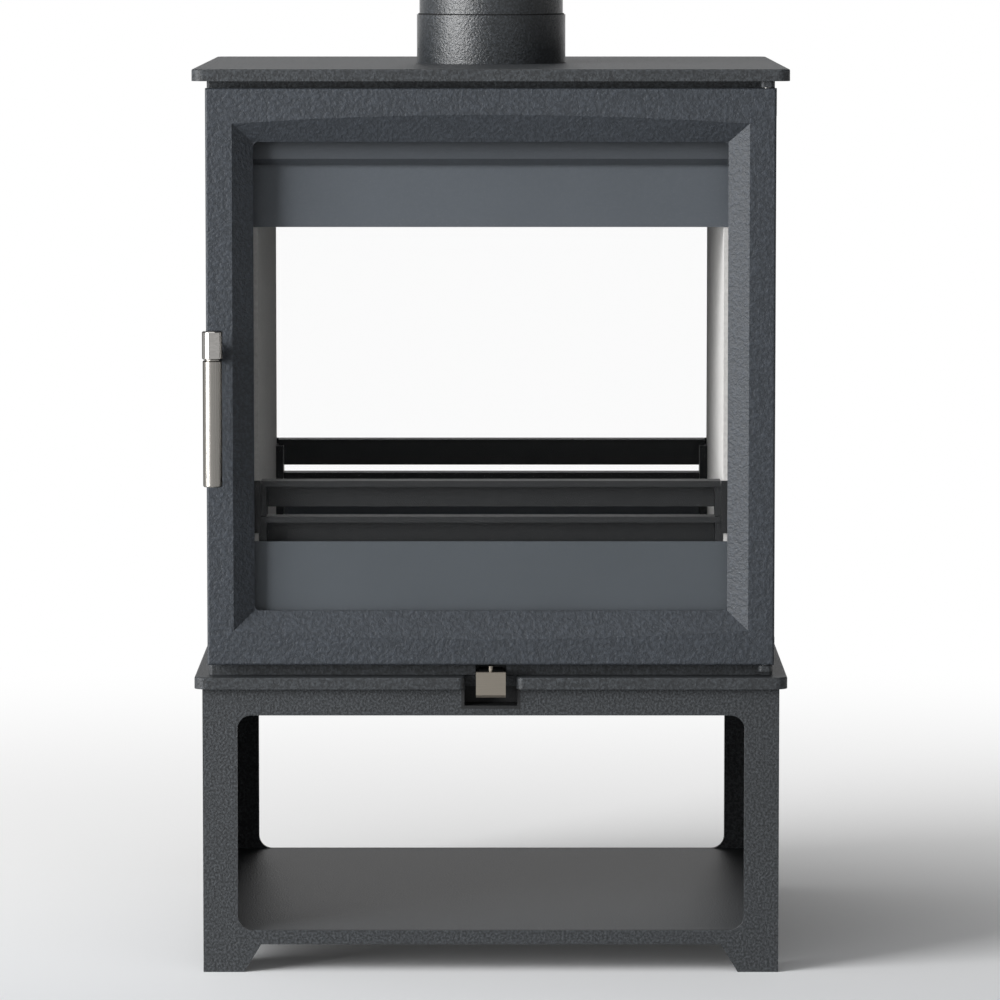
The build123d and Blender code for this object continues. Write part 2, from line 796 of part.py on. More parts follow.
with BuildPart() as clip_screws:
    with BuildSketch(Plane.XZ.offset(door_back - clip_thickness)):
        with Locations((0, door_middle)):
            with clip_places(clip_screw_inset):
                Circle(clip_screw_radius)
    extrude(amount=clip_screw_length)
    with BuildSketch(Plane.XZ.offset(door_back - clip_thickness - clip_head_height)):
        with Locations((0, door_middle)):
            with clip_places(clip_screw_inset):
                Circle(clip_head_radius)
    extrude(amount=clip_head_height)
write_on_both_sides(clip_screws.part, "clip_screws")

# Handle: a spindle through the door, a hub and grip outside it and a cam inside
hub_bottom = spindle_z - hub_below_spindle
cam_front = door_back - cam_gap
cam_end = cam_front - cam_thickness
hub_back = hub_y - hub_radius
with BuildPart() as handle_spindle:
    with BuildSketch(Plane.XZ.offset(cam_front)):
        with Locations((spindle_x, spindle_z)):
            Circle(spindle_radius)
    extrude(amount=hub_back + hub_bite - cam_front)
    with BuildSketch(Plane.XZ.offset(cam_end)):
        with Locations((spindle_x, spindle_z)):
            Circle(spindle_neck_radius)
    extrude(amount=cam_thickness)
write_on_both_sides(handle_spindle.part, "handle_spindle")

with BuildPart() as handle_hub:
    with BuildSketch(Plane.XY.offset(hub_bottom)):
        with Locations((hub_x, -hub_y)):
            Circle(hub_radius)
    extrude(amount=hub_height)
    chamfer(handle_hub.edges().filter_by(GeomType.CIRCLE), length=hub_edge)
    with BuildSketch(Plane.XZ.offset(hub_back)):
        with Locations((spindle_x, spindle_z)):
            Circle(spindle_radius + press_play)
    extrude(amount=hub_bite, mode=Mode.SUBTRACT)
    with BuildSketch(Plane.XY.offset(hub_bottom)):
        with Locations((hub_x, -hub_y)):
            Circle(grip_spigot_radius + press_play)
    extrude(amount=grip_spigot_length, mode=Mode.SUBTRACT)
write_on_both_sides(handle_hub.part, "handle_hub")

grip_top = hub_bottom - grip_neck_height
with BuildPart() as handle_grip:
    with BuildSketch(Plane.XY.offset(grip_top - grip_length)):
        with Locations((hub_x, -hub_y)):
            Circle(grip_radius)
    extrude(amount=grip_length)
    chamfer(handle_grip.edges().filter_by(GeomType.CIRCLE), length=hub_edge)
    with BuildSketch(Plane.XY.offset(grip_top)):
        with Locations((hub_x, -hub_y)):
            Circle(grip_neck_radius)
    extrude(amount=grip_neck_height)
    with BuildSketch(Plane.XY.offset(hub_bottom)):
        with Locations((hub_x, -hub_y)):
            Circle(grip_spigot_radius)
    extrude(amount=grip_spigot_length)
write_on_both_sides(handle_grip.part, "handle_grip")

with BuildPart() as latch_cam:
    with BuildSketch(Plane.XZ.offset(cam_end)):
        with Locations((spindle_x, spindle_z + cam_offset)):
            Circle(cam_radius)
        with Locations((spindle_x, spindle_z)):
            Circle(spindle_neck_radius + press_play, mode=Mode.SUBTRACT)
    extrude(amount=cam_thickness)
write_on_both_sides(latch_cam.part, "latch_cam")
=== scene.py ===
import math

import bpy
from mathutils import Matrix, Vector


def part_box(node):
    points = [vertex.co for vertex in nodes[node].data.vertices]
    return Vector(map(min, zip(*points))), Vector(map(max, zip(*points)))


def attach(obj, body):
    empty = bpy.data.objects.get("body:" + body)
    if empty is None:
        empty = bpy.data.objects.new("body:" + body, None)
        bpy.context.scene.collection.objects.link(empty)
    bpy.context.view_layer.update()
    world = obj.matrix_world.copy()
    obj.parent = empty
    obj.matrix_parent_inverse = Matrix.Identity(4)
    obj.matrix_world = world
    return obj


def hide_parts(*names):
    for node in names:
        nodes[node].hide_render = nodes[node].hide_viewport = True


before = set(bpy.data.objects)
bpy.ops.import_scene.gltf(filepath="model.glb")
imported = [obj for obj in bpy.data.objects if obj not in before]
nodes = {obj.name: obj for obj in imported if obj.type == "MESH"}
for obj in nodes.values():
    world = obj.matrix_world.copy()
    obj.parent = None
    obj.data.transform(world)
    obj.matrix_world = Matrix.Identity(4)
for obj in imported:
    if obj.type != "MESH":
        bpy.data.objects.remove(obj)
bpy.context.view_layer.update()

# Log store: five sheets of folded and welded steel, painted before the body is set on it.
# The paint is a heat-resistant stove paint sprayed over bare steel, with a dry, pebbled skin
# that breaks the light into fine specks.


def linear(hex_colour, alpha=1.0):
    """A written sRGB colour as the linear values that a shader takes."""
    channels = [int(hex_colour[i : i + 2], 16) / 255 for i in (1, 3, 5)]
    return tuple(c / 12.92 if c <= 0.04045 else ((c + 0.055) / 1.055) ** 2.4 for c in channels) + (alpha,)


def add_node(tree, kind, settings=None, links=None, **values):
    """A node with its settings, its plain values and what is linked into it."""
    node = tree.nodes.new(kind)
    for name, value in (settings or {}).items():
        setattr(node, name, value)
    for name, value in values.items():
        node.inputs[name.replace("_", " ")].default_value = value
    for name, source in (links or {}).items():
        tree.links.new(source, node.inputs[name])
    return node


def start_material(name):
    """A new material with its object coordinates and its main shader."""
    material = bpy.data.materials.new(name)
    material.use_nodes = True
    tree = material.node_tree
    place = add_node(tree, "ShaderNodeTexCoord").outputs["Object"]
    return material, tree, tree.nodes["Principled BSDF"], place


def stove_paint(name, colour, speck, pebble_mm, bump_mm, roughness, shine=0.35):
    """Sprayed stove paint: a matt dark coat with pale specks and a pebbled surface.

    Real pebbles are finer. They are drawn coarse enough to show at the photograph's distance.
    """
    patch_mm = 111.0
    patch_change = 0.10
    roughness_change = 0.08
    coat_until, speck_from = 0.42, 0.78
    material, tree, shader, place = start_material(name)
    pebbles = add_node(tree, "ShaderNodeTexNoise", links={"Vector": place}, Detail=3.0, Roughness=0.6)
    pebbles.inputs["Scale"].default_value = 1000 / pebble_mm
    patches = add_node(tree, "ShaderNodeTexNoise", links={"Vector": place}, Detail=2.0)
    patches.inputs["Scale"].default_value = 1000 / patch_mm
    specks = add_node(tree, "ShaderNodeValToRGB", links={"Fac": pebbles.outputs["Fac"]})
    specks.color_ramp.elements[0].position = coat_until
    specks.color_ramp.elements[0].color = linear(colour)
    specks.color_ramp.elements[1].position = speck_from
    specks.color_ramp.elements[1].color = linear(speck)
    tone = add_node(tree, "ShaderNodeMapRange", links={"Value": patches.outputs["Fac"]})
    tone.inputs["To Min"].default_value = 1 - patch_change
    tone.inputs["To Max"].default_value = 1 + patch_change
    shaded = add_node(
        tree,
        "ShaderNodeVectorMath",
        {"operation": "SCALE"},
        {0: specks.outputs["Color"], "Scale": tone.outputs["Result"]},
    )
    tree.links.new(shaded.outputs["Vector"], shader.inputs["Base Color"])
    rough = add_node(tree, "ShaderNodeMapRange", links={"Value": pebbles.outputs["Fac"]})
    rough.inputs["To Min"].default_value = roughness - roughness_change
    rough.inputs["To Max"].default_value = roughness + roughness_change
    tree.links.new(rough.outputs["Result"], shader.inputs["Roughness"])
    shader.inputs["Specular IOR Level"].default_value = shine
    relief = add_node(tree, "ShaderNodeBump", links={"Height": pebbles.outputs["Fac"]}, Strength=1.0)
    relief.inputs["Distance"].default_value = bump_mm / 1000
    tree.links.new(relief.outputs["Normal"], shader.inputs["Normal"])
    return material


def paint_nodes(material, *names):
    """Gives CAD pieces a finish, in every material slot that they have."""
    for name in names:
        piece = nodes[name]
        if not piece.material_slots:
            piece.data.materials.append(material)
        for place in piece.material_slots:
            place.material = material


def soften(width_mm, *names):
    """Rounds the cut edges of sheet and bar pieces a little, as paint and deburring do."""
    sharp_from = math.radians(50)
    for name in names:
        edge = nodes[name].modifiers.new("edge", "BEVEL")
        edge.width = width_mm / 1000
        edge.segments = 2
        edge.limit_method = "ANGLE"
        edge.angle_limit = sharp_from


both_sides = ("front", "rear")
store_paint = stove_paint("sprayed_stove_paint", "#292B2D", "#565A5E", 2.0, 0.8, 0.55)
store_panels = [f"store_{side}_panel" for side in both_sides]
paint_nodes(store_paint, "store_left_side", "store_right_side", *store_panels)
soften(0.5, *store_panels)

# Store plate, store floor and top plate: flame-cut steel plates, the outer two with rounded
# corners and the body welded between them. Their paint lies a little smoother, on flat faces.
plate_paint = stove_paint("smooth_stove_paint", "#2D2F31", "#4E5256", 2.0, 0.6, 0.48)
paint_nodes(plate_paint, "store_top_plate", "top_plate", "store_floor")

# Stove body: face frames, sides and floor of welded sheet. Only the strips round the doors
# and the two sides show, and they are in the same paint as the plates.
paint_nodes(plate_paint, "front_frame", "rear_frame", "left_side_panel", "right_side_panel")

# Doors: one grey-iron casting for each side, with a splayed reveal round the window. The
# paint is sprayed thicker here, so it is bluer and its pebbles are soft and shallow.
door_paint = stove_paint("thick_stove_paint", "#32363B", "#454A51", 3.0, 1.0, 0.50)
paint_nodes(door_paint, "front_door_frame", "rear_door_frame")

# Flue collar and pipe: rolled and welded steel tube in stove paint. The paint is laid on
# with the tube turning, so it is even, darker and a little shiny.
flue_paint = stove_paint("even_stove_paint", "#212426", "#41454A", 2.0, 0.6, 0.32, shine=0.6)
paint_nodes(flue_paint, "flue_collar", "flue_pipe")

# Collar ring: a thin near-black ring round the pipe in the mouth of the collar, as painted
# shadow for the dark gap line there. Its rim waves a little round the pipe.
collar_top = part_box("flue_collar")[1][2]
pipe_outside = 0.0625
bead_profile = [(0.0000, -0.0010), (0.0011, 0.0001), (0.0012, 0.0006), (0.0007, 0.0010), (0.0001, 0.0011)]
bead_steps = 96
rim_wave = 0.0001
waves_round = 7
bead_points = []
bead_faces = []
bead_size = len(bead_profile)
for step in range(bead_steps):
    turn = 2 * math.pi * step / bead_steps
    here = step * bead_size
    there = (step + 1) % bead_steps * bead_size
    for corner, (out, up) in enumerate(bead_profile):
        reach = pipe_outside + out + rim_wave * math.sin(waves_round * turn)
        bead_points.append((reach * math.cos(turn), reach * math.sin(turn), collar_top + up))
        after = (corner + 1) % bead_size
        bead_faces.append((here + corner, there + corner, there + after, here + after))
bead_mesh = bpy.data.meshes.new("collar_shadow_ring")
bead_mesh.from_pydata(bead_points, [], bead_faces)
for face in bead_mesh.polygons:
    face.use_smooth = True
bead = bpy.data.objects.new("collar_shadow_ring", bead_mesh)
bpy.context.scene.collection.objects.link(bead)
# The ring is coloured near black as a painted shadow.
bead_mesh.materials.append(stove_paint("painted_shadow_black", "#0C0C0D", "#161617", 1.5, 0.2, 0.85))
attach(bead, "stove")

# Fire bricks: pressed vermiculite board, pale and gritty, standing down each side of the
# firebox. The pressed flakes give it a fine, dull grain.
flake_mm = 3.125
brick, brick_tree, brick_shader, brick_place = start_material("vermiculite_board")
flakes = add_node(brick_tree, "ShaderNodeTexVoronoi", links={"Vector": brick_place}, Scale=1000 / flake_mm)
flake_tone = add_node(brick_tree, "ShaderNodeValToRGB", links={"Fac": flakes.outputs["Distance"]})
flake_tone.color_ramp.elements[0].color = linear("#C2C1BF")
flake_tone.color_ramp.elements[1].color = linear("#D6D5D3")
brick_tree.links.new(flake_tone.outputs["Color"], brick_shader.inputs["Base Color"])
brick_relief = add_node(
    brick_tree, "ShaderNodeBump", links={"Height": flakes.outputs["Distance"]}, Strength=0.2, Distance=0.0003
)
brick_tree.links.new(brick_relief.outputs["Normal"], brick_shader.inputs["Normal"])
brick_shader.inputs["Roughness"].default_value = 0.9
brick_shader.inputs["Specular IOR Level"].default_value = 0.1
paint_nodes(brick, "left_side_brick", "right_side_brick")

# Baffle, air-wash strips and log retainers: smooth mild-steel plate in thin high-heat
# paint. They are flat and clean, so they read lighter and plainer than the castings.
heat_paint = stove_paint("high_heat_paint", "#53585E", "#585D63", 1.6, 0.04, 0.42)
# The air-wash strips take a darker copy of the same paint, as painted shade under the top of the window.
shaded_strip_paint = stove_paint("shaded_high_heat_paint", "#42464B", "#474B50", 1.6, 0.04, 0.46)
retainer_paint = stove_paint("matt_high_heat_paint", "#4C5156", "#51565B", 1.6, 0.05, 0.46)
paint_nodes(heat_paint, "baffle")
paint_nodes(shaded_strip_paint, "front_airwash_plate", "rear_airwash_plate")
paint_nodes(retainer_paint, "front_log_retainer", "rear_log_retainer")

# Guard bars, brackets and grate: bare grey iron, cast in sand and blackened. The sand
# leaves a grainy, uneven, almost black skin. The deck is sheet steel, drawn paler as a painted sheen.
cast_iron = stove_paint("blackened_cast_iron", "#1C1D1E", "#2A2C2E", 1.0, 0.30, 0.50)
# The deck's paler colour is a painted sheen on the high-heat paint.
sheen_deck_paint = stove_paint("sheen_high_heat_paint", "#6A6F75", "#70757B", 1.6, 0.04, 0.36)
guard_pieces = ("upper_guard_bar", "lower_guard_bar", "guard_brackets")
paint_nodes(cast_iron, *[f"{side}_{piece}" for side in both_sides for piece in guard_pieces])
paint_nodes(cast_iron, "grate")
paint_nodes(sheen_deck_paint, "grate_deck")
soften(0.6, "grate")

# Ash pan, firebox floor, air slide, its guide and the tray behind the knob: thin pressed
# steel, blackened in the heat. None of it is finished to be seen.
black_steel = stove_paint("blackened_sheet_steel", "#1E1F20", "#2B2C2D", 1.4, 0.12, 0.55)
paint_nodes(black_steel, "ash_pan", "firebox_base", "air_slide", "air_slide_guide", "air_tray")

# Door glass: flat ceramic glass, clear and polished, in a rebate behind the reveal. It is
# clean, so it only dims what is behind it by a trace.
smear_mm = 167.0
glass, glass_tree, glass_shader, glass_place = start_material("ceramic_glass")
glass_shader.inputs["Base Color"].default_value = linear("#20262B")
glass_shader.inputs["Alpha"].default_value = 0.01
smears = add_node(glass_tree, "ShaderNodeTexNoise", links={"Vector": glass_place}, Detail=1.0)
smears.inputs["Scale"].default_value = 1000 / smear_mm
smear_range = add_node(glass_tree, "ShaderNodeMapRange", links={"Value": smears.outputs["Fac"]})
smear_range.inputs["To Min"].default_value = 0.03
smear_range.inputs["To Max"].default_value = 0.08
glass_tree.links.new(smear_range.outputs["Result"], glass_shader.inputs["Roughness"])
paint_nodes(glass, "front_door_glass", "rear_door_glass")

# Glass tape: knitted glass fibre, glued flat under the rim of the glass. Its strands show
# as short slanted ribs. A slanted wave of scale 1 has ten radians to the metre.
rib_mm = 6.98
fibre, fibre_tree, fibre_shader, fibre_place = start_material("knitted_glass_fibre")
strands = add_node(fibre_tree, "ShaderNodeTexWave", {"bands_direction": "DIAGONAL"}, {"Vector": fibre_place})
strands.inputs["Scale"].default_value = 2 * math.pi * 1000 / rib_mm / 10
strands.inputs["Distortion"].default_value = 1.5
strand_tone = add_node(fibre_tree, "ShaderNodeValToRGB", links={"Fac": strands.outputs["Fac"]})
strand_tone.color_ramp.elements[0].color = linear("#232425")
strand_tone.color_ramp.elements[1].color = linear("#4A4B4D")
fibre_tree.links.new(strand_tone.outputs["Color"], fibre_shader.inputs["Base Color"])
strand_relief = add_node(fibre_tree, "ShaderNodeBump", links={"Height": strands.outputs["Fac"]})
strand_relief.inputs["Strength"].default_value = 0.6
strand_relief.inputs["Distance"].default_value = 0.0008
fibre_tree.links.new(strand_relief.outputs["Normal"], fibre_shader.inputs["Normal"])
fibre_shader.inputs["Roughness"].default_value = 0.9
paint_nodes(fibre, "front_glass_tape", "rear_glass_tape")

# Door rope: four strands of the same fibre laid round each other and pressed flat into the
# groove of the casting, where it is glued. The strands are drawn by Geometry Nodes.
rope_low, rope_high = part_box("front_door_rope")
rope_width = 0.008
rope_corner = 0.006
corner_steps = 6
strand_count = 4
strand_radius = 0.0013
strand_sides = 6
rope_lay = 0.014
path_step = 0.0024


def rope_path(side):
    """The middle line of the rope's groove, as a closed curve with rounded corners."""
    half_x = (rope_high[0] - rope_low[0]) / 2 - rope_width / 2
    half_z = (rope_high[2] - rope_low[2]) / 2 - rope_width / 2
    middle_z = (rope_high[2] + rope_low[2]) / 2
    middle_y = (rope_high[1] + rope_low[1]) / 2 * side
    points = []
    for turn, (sign_x, sign_z) in enumerate([(1, 1), (-1, 1), (-1, -1), (1, -1)]):
        for step in range(corner_steps + 1):
            angle = math.pi / 2 * (turn + step / corner_steps)
            x = sign_x * (half_x - rope_corner) + rope_corner * math.cos(angle)
            z = sign_z * (half_z - rope_corner) + rope_corner * math.sin(angle)
            points.append((x, middle_y, middle_z + z, 1))
    curve = bpy.data.curves.new("rope_path", "CURVE")
    curve.dimensions = "3D"
    line = curve.splines.new("POLY")
    line.points.add(len(points) - 1)
    for point, place in zip(line.points, points):
        point.co = place
    line.use_cyclic_u = True
    path = bpy.data.objects.new("rope_path", curve)
    bpy.context.scene.collection.objects.link(path)
    return path


laid_rope = bpy.data.node_groups.new("laid_rope", "GeometryNodeTree")
for label, kind, default in (
    ("Path", "NodeSocketGeometry", None),
    ("Strand Radius", "NodeSocketFloat", strand_radius),
    ("Half Width", "NodeSocketFloat", rope_width / 2 - strand_radius),
    ("Half Depth", "NodeSocketFloat", (rope_high[1] - rope_low[1]) / 2 - strand_radius),
    ("Lay Length", "NodeSocketFloat", rope_lay),
    ("Fibre", "NodeSocketMaterial", None),
):
    socket = laid_rope.interface.new_socket(label, in_out="INPUT", socket_type=kind)
    if default is not None:
        socket.default_value = default
laid_rope.interface.new_socket("Rope", in_out="OUTPUT", socket_type="NodeSocketGeometry")
given = laid_rope.nodes.new("NodeGroupInput").outputs
run = add_node(laid_rope, "GeometryNodeResampleCurve", {"mode": "LENGTH"}, {"Curve": given["Path"]})
run.inputs["Length"].default_value = path_step
copies = add_node(
    laid_rope,
    "GeometryNodeDuplicateElements",
    {"domain": "SPLINE"},
    {"Geometry": run.outputs["Curve"]},
    Amount=strand_count,
)

# Each strand winds round the middle line, starting a share of a turn after the one before.
along = add_node(laid_rope, "GeometryNodeSplineParameter")
turns = add_node(
    laid_rope,
    "ShaderNodeMath",
    {"operation": "DIVIDE"},
    {0: along.outputs["Length"], 1: given["Lay Length"]},
)
strand = copies.outputs["Duplicate Index"]
share = add_node(laid_rope, "ShaderNodeMath", {"operation": "DIVIDE"}, {0: strand})
share.inputs[1].default_value = float(strand_count)
turned_by = add_node(
    laid_rope, "ShaderNodeMath", {"operation": "ADD"}, {0: turns.outputs[0], 1: share.outputs[0]}
)
angle = add_node(laid_rope, "ShaderNodeMath", {"operation": "MULTIPLY"}, {0: turned_by.outputs[0]})
angle.inputs[1].default_value = 2 * math.pi
across = add_node(laid_rope, "ShaderNodeMath", {"operation": "COSINE"}, {0: angle.outputs[0]})
inward = add_node(laid_rope, "ShaderNodeMath", {"operation": "SINE"}, {0: angle.outputs[0]})
across_by = add_node(
    laid_rope, "ShaderNodeMath", {"operation": "MULTIPLY"}, {0: across.outputs[0], 1: given["Half Width"]}
)
inward_by = add_node(
    laid_rope, "ShaderNodeMath", {"operation": "MULTIPLY"}, {0: inward.outputs[0], 1: given["Half Depth"]}
)
tangent = add_node(laid_rope, "GeometryNodeInputTangent").outputs["Tangent"]
sideways = add_node(laid_rope, "ShaderNodeVectorMath", {"operation": "CROSS_PRODUCT"}, {0: tangent})
sideways.inputs[1].default_value = (0, 1, 0)
side_step = add_node(
    laid_rope,
    "ShaderNodeVectorMath",
    {"operation": "SCALE"},
    {0: sideways.outputs["Vector"], "Scale": across_by.outputs[0]},
)
deep_step = add_node(laid_rope, "ShaderNodeCombineXYZ", links={"Y": inward_by.outputs[0]})
whole_step = add_node(
    laid_rope,
    "ShaderNodeVectorMath",
    {"operation": "ADD"},
    {0: side_step.outputs["Vector"], 1: deep_step.outputs["Vector"]},
)
laid = add_node(
    laid_rope,
    "GeometryNodeSetPosition",
    links={"Geometry": copies.outputs["Geometry"], "Offset": whole_step.outputs["Vector"]},
)
section = add_node(laid_rope, "GeometryNodeCurvePrimitiveCircle", links={"Radius": given["Strand Radius"]})
section.inputs["Resolution"].default_value = strand_sides
tubes = add_node(
    laid_rope,
    "GeometryNodeCurveToMesh",
    links={"Curve": laid.outputs["Geometry"], "Profile Curve": section.outputs["Curve"]},
)
real = add_node(laid_rope, "GeometryNodeRealizeInstances", links={"Geometry": tubes.outputs["Mesh"]})
finished = add_node(
    laid_rope,
    "GeometryNodeSetMaterial",
    links={"Geometry": real.outputs["Geometry"], "Material": given["Fibre"]},
)
laid_rope.links.new(finished.outputs["Geometry"], laid_rope.nodes.new("NodeGroupOutput").inputs["Rope"])
fibre_socket = next(item.identifier for item in laid_rope.interface.items_tree if item.name == "Fibre")

for side_name, side in zip(both_sides, (1, -1)):
    path = rope_path(side)
    maker = path.modifiers.new("laid_rope", "NODES")
    maker.node_group = laid_rope
    maker[fibre_socket] = fibre
    made = path.evaluated_get(bpy.context.evaluated_depsgraph_get())
    rope_mesh = bpy.data.meshes.new_from_object(made)
    rope_mesh.name = f"{side_name}_laid_rope"
    bpy.data.objects.remove(path)
    rope = bpy.data.objects.new(f"{side_name}_laid_rope", rope_mesh)
    bpy.context.scene.collection.objects.link(rope)
    for face in rope_mesh.polygons:
        face.use_smooth = True
    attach(rope, f"{side_name}_door")
    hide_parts(f"{side_name}_door_rope")

# Hinge pins, glass clips, clip screws and latch cam: plain drawn and turned steel, oiled
# but not painted, so that they don't stick in the heat.


def bare_steel(name, colour, roughness, direction, lines_per_mm):
    """Bare steel with fine tool marks drawn out along one axis."""
    mark_mm = 83.3
    dull_share = 0.82
    dull_until, bright_from = 0.3, 0.7
    roughness_change = 0.04
    edge_tint = "#6E6E6E"
    material, tree, shader, place = start_material(name)
    stretch = [1000 * lines_per_mm] * 3
    stretch[direction] = 1000 / mark_mm
    turned = add_node(tree, "ShaderNodeMapping", links={"Vector": place})
    turned.inputs["Scale"].default_value = stretch
    marks = add_node(tree, "ShaderNodeTexNoise", links={"Vector": turned.outputs["Vector"]}, Detail=2.0)
    marks.inputs["Scale"].default_value = 1.0
    tone = add_node(tree, "ShaderNodeValToRGB", links={"Fac": marks.outputs["Fac"]})
    tone.color_ramp.elements[0].position = dull_until
    tone.color_ramp.elements[0].color = tuple(dull_share * c for c in linear(colour)[:3]) + (1.0,)
    tone.color_ramp.elements[1].position = bright_from
    tone.color_ramp.elements[1].color = linear(colour)
    tree.links.new(tone.outputs["Color"], shader.inputs["Base Color"])
    rough = add_node(tree, "ShaderNodeMapRange", links={"Value": marks.outputs["Fac"]})
    rough.inputs["To Min"].default_value = roughness - roughness_change
    rough.inputs["To Max"].default_value = roughness + roughness_change
    tree.links.new(rough.outputs["Result"], shader.inputs["Roughness"])
    relief = add_node(tree, "ShaderNodeBump", links={"Height": marks.outputs["Fac"]}, Strength=0.08)
    relief.inputs["Distance"].default_value = 0.0001
    tree.links.new(relief.outputs["Normal"], shader.inputs["Normal"])
    shader.inputs["Metallic"].default_value = 1.0
    shader.inputs["Specular Tint"].default_value = linear(edge_tint)
    return material


plain_steel = bare_steel("drawn_steel", "#8C8A87", 0.35, 2, 2.0)
hardware = ("hinge_pins", "glass_clips", "clip_screws", "latch_cam")
paint_nodes(plain_steel, *[f"{side}_{piece}" for side in both_sides for piece in hardware])

# Handle: a stainless hub polished on the lathe, over a stainless grip brushed along its
# length, both on a spindle that runs through the door's boss.
polished = bare_steel("polished_stainless", "#A3A19E", 0.10, 0, 1.0)
paint_nodes(polished, "front_handle_hub", "rear_handle_hub")
brushed = bare_steel("brushed_stainless", "#97948F", 0.28, 2, 3.0)
paint_nodes(brushed, "front_handle_grip", "rear_handle_grip")
paint_nodes(plain_steel, "front_handle_spindle", "rear_handle_spindle")

# Air knob: a small sawn plate of stainless steel, brushed from side to side, with a stud
# that pins it to the slide. The face is left bare.
knob_steel = bare_steel("brushed_knob_steel", "#989186", 0.40, 0, 3.0)
paint_nodes(knob_steel, "air_knob", "air_knob_stud")

# Floor: a pale sweep of painted board. Its colour is darker in front of the stove as painted
# shade; it takes the stove's shadow, and fades to plain white with distance on every side.
floor_reach = 14.0
floor_behind = 90.0
fade_centre = (0, -0.6, 0)
fade_from, fade_to = 0.6, 2.5
white_at_stove = 0.03
dark_until, pale_from = -1.1, 0.5
near_colour, far_colour, bounce_colour = "#CDD0D4", "#FFFFFF", "#484848"
floor_corners = [
    (-floor_reach, -floor_reach, 0),
    (floor_reach, -floor_reach, 0),
    (floor_reach, floor_behind, 0),
    (-floor_reach, floor_behind, 0),
]
floor_mesh = bpy.data.meshes.new("studio_floor")
floor_mesh.from_pydata(floor_corners, [], [(0, 1, 2, 3)])
floor = bpy.data.objects.new("studio_floor", floor_mesh)
bpy.context.scene.collection.objects.link(floor)
floor_paint, floor_tree, floor_shader, floor_place = start_material("studio_floor_paint")
floor_shader.inputs["Roughness"].default_value = 0.75
rays = add_node(floor_tree, "ShaderNodeLightPath")
floor_axes = add_node(floor_tree, "ShaderNodeSeparateXYZ", links={"Vector": floor_place})
near = add_node(
    floor_tree,
    "ShaderNodeMapRange",
    {"interpolation_type": "SMOOTHSTEP"},
    {"Value": floor_axes.outputs["Y"]},
)
near.inputs["From Min"].default_value = dark_until
near.inputs["From Max"].default_value = pale_from
# The darker near colour is painted shade on the floor.
near_tone = add_node(floor_tree, "ShaderNodeMix", {"data_type": "RGBA"}, {"Factor": near.outputs["Result"]})
near_tone.inputs["A"].default_value = linear(near_colour)
near_tone.inputs["B"].default_value = linear(far_colour)

# What the floor throws back on the stove is kept dim, as if it were dark beyond the picture.
bounce_tone = add_node(
    floor_tree, "ShaderNodeMix", {"data_type": "RGBA"}, {"Factor": rays.outputs["Is Diffuse Ray"]}
)
floor_tree.links.new(near_tone.outputs["Result"], bounce_tone.inputs["A"])
bounce_tone.inputs["B"].default_value = linear(bounce_colour)
floor_tree.links.new(bounce_tone.outputs["Result"], floor_shader.inputs["Base Color"])
away = add_node(floor_tree, "ShaderNodeVectorMath", {"operation": "DISTANCE"}, {0: floor_place})
away.inputs[1].default_value = fade_centre
fade = add_node(
    floor_tree, "ShaderNodeMapRange", {"interpolation_type": "SMOOTHSTEP"}, {"Value": away.outputs["Value"]}
)
fade.inputs["From Min"].default_value = fade_from
fade.inputs["From Max"].default_value = fade_to
fade.inputs["To Min"].default_value = white_at_stove
seen = add_node(
    floor_tree,
    "ShaderNodeMath",
    {"operation": "MAXIMUM"},
    {0: rays.outputs["Is Camera Ray"], 1: rays.outputs["Is Glossy Ray"]},
)
white_share = add_node(
    floor_tree, "ShaderNodeMath", {"operation": "MULTIPLY"}, {0: seen.outputs[0], 1: fade.outputs["Result"]}
)
white = add_node(floor_tree, "ShaderNodeEmission", Color=(1, 1, 1, 1), Strength=1.0)
floor_mix = add_node(
    floor_tree,
    "ShaderNodeMixShader",
    links={"Fac": white_share.outputs[0], 1: floor_shader.outputs["BSDF"], 2: white.outputs["Emission"]},
)
floor_tree.links.new(floor_mix.outputs["Shader"], floor_tree.nodes["Material Output"].inputs["Surface"])
floor.data.materials.append(floor_paint)

# Studio walls: soft light from the left front, dim light from the other sides, and a white
# backdrop that the camera sees and that shiny faces mirror.
bright_way = (-0.50, -0.83, 0.23)
bright_from, bright_to = -0.3, 0.9
dim_level, bright_level = 0.08, 0.52
backdrop_from, backdrop_to = 0.75, 0.97
backdrop_level = 1.0
world = bpy.data.worlds.new("studio")
bpy.context.scene.world = world
world.use_nodes = True
sky_tree = world.node_tree
sky_rays = add_node(sky_tree, "ShaderNodeLightPath")
sky_way = add_node(sky_tree, "ShaderNodeTexCoord").outputs["Generated"]
facing = add_node(sky_tree, "ShaderNodeVectorMath", {"operation": "DOT_PRODUCT"}, {0: sky_way})
facing.inputs[1].default_value = bright_way
studio = add_node(
    sky_tree, "ShaderNodeMapRange", {"interpolation_type": "SMOOTHSTEP"}, {"Value": facing.outputs["Value"]}
)
studio.inputs["From Min"].default_value = bright_from
studio.inputs["From Max"].default_value = bright_to
studio.inputs["To Min"].default_value = dim_level
studio.inputs["To Max"].default_value = bright_level
sky_axes = add_node(sky_tree, "ShaderNodeSeparateXYZ", links={"Vector": sky_way})
backdrop = add_node(
    sky_tree, "ShaderNodeMapRange", {"interpolation_type": "SMOOTHSTEP"}, {"Value": sky_axes.outputs["Y"]}
)
backdrop.inputs["From Min"].default_value = backdrop_from
backdrop.inputs["From Max"].default_value = backdrop_to
mirrored = add_node(
    sky_tree,
    "ShaderNodeMath",
    {"operation": "MULTIPLY"},
    {0: backdrop.outputs["Result"], 1: sky_rays.outputs["Is Glossy Ray"]},
)
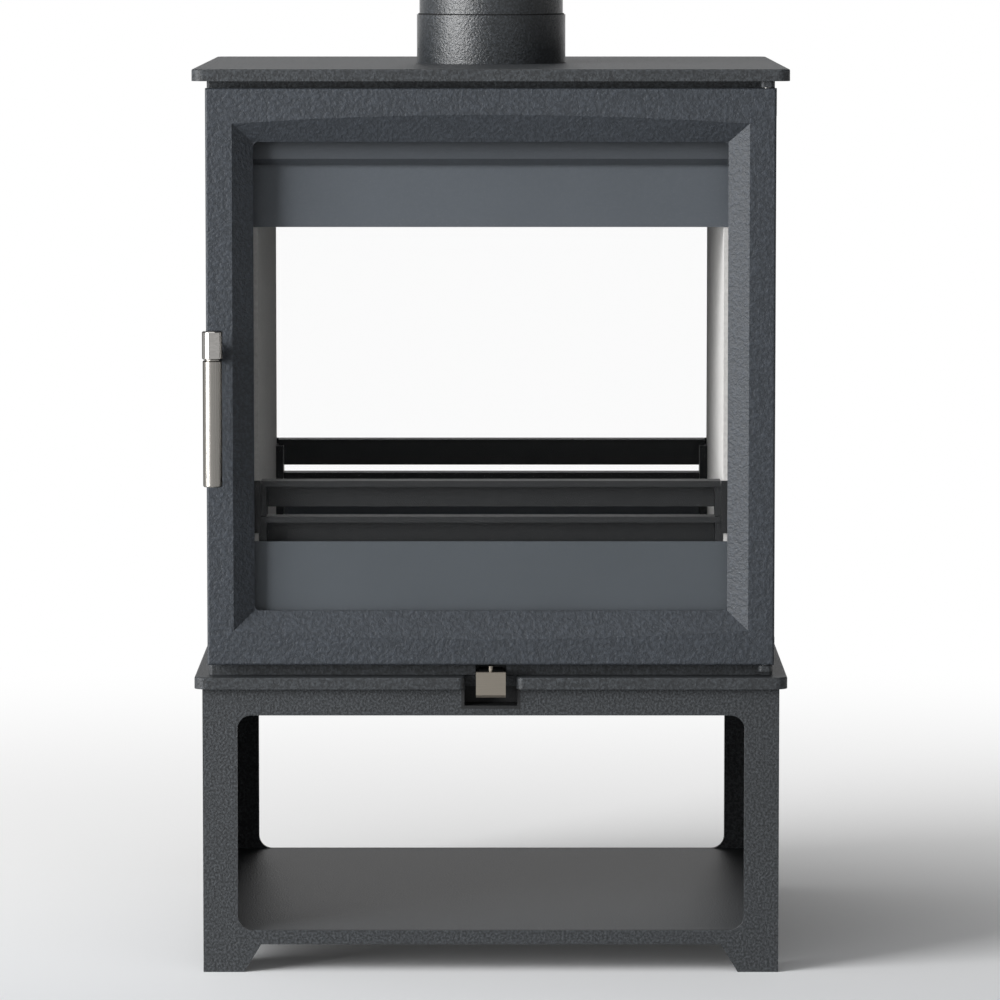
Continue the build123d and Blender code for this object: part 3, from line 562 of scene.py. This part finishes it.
studio_level = add_node(
    sky_tree,
    "ShaderNodeMath",
    {"operation": "MAXIMUM"},
    {0: studio.outputs["Result"], 1: mirrored.outputs[0]},
)
sky_level = add_node(sky_tree, "ShaderNodeMix", links={"Factor": sky_rays.outputs["Is Camera Ray"]})
sky_tree.links.new(studio_level.outputs[0], sky_level.inputs["A"])
sky_level.inputs["B"].default_value = backdrop_level
sky_tree.nodes["Background"].inputs["Color"].default_value = (1, 1, 1, 1)
sky_tree.links.new(sky_level.outputs["Result"], sky_tree.nodes["Background"].inputs["Strength"])

# Lamps: a tall soft box at the left front, which gives the steel its bright band, a weak one
# at the right and a wide one overhead. Places and sizes are in metres, powers in watts.


def soft_lamp(name, place, aim, width, height, power, colour):
    """A soft lamp with a rectangular face, turned to face a point."""
    data = bpy.data.lights.new(name, "AREA")
    data.shape = "RECTANGLE"
    data.size = width
    data.size_y = height
    data.energy = power
    data.color = linear(colour)[:3]
    lamp = bpy.data.objects.new(name, data)
    bpy.context.scene.collection.objects.link(lamp)
    lamp.location = place
    way = [a - p for a, p in zip(aim, place)]
    flat = math.hypot(way[0], way[1])
    lamp.rotation_euler = (math.atan2(flat, -way[2]), 0, math.atan2(way[1], way[0]) - math.pi / 2)


soft_lamp("key_lamp", (-3.7, -2.45, 1.45), (0, 0, 0.9), 2.6, 2.7, 320, "#FFFFFF")
soft_lamp("fill_lamp", (2.6, -3.6, 1.6), (0, 0, 0.4), 2.0, 2.0, 3, "#F4F8FF")
soft_lamp("overhead_lamp", (-0.6, -0.4, 3.4), (0, 0, 0.4), 2.2, 2.2, 24, "#FFFFFF")

# Camera: a long lens, 5.26 m in front of the stove and just above its top plate, tilted
# down 5.5 degrees. Both were worked out from the photograph's perspective.
lens_mm = 216.5
sensor_mm = 36.0
tilt_down = math.radians(5.52)
camera_place = (0.0077, -5.259, 0.8878)
camera_sight = 200.0
camera_data = bpy.data.cameras.new("camera")
camera_data.sensor_width = sensor_mm
camera_data.lens = lens_mm
camera_data.clip_end = camera_sight
camera = bpy.data.objects.new("camera", camera_data)
bpy.context.scene.collection.objects.link(camera)
camera.location = camera_place
camera.rotation_euler = (math.pi / 2 - tilt_down, 0, 0)
bpy.context.scene.camera = camera
bpy.context.scene.view_settings.view_transform = "Standard"
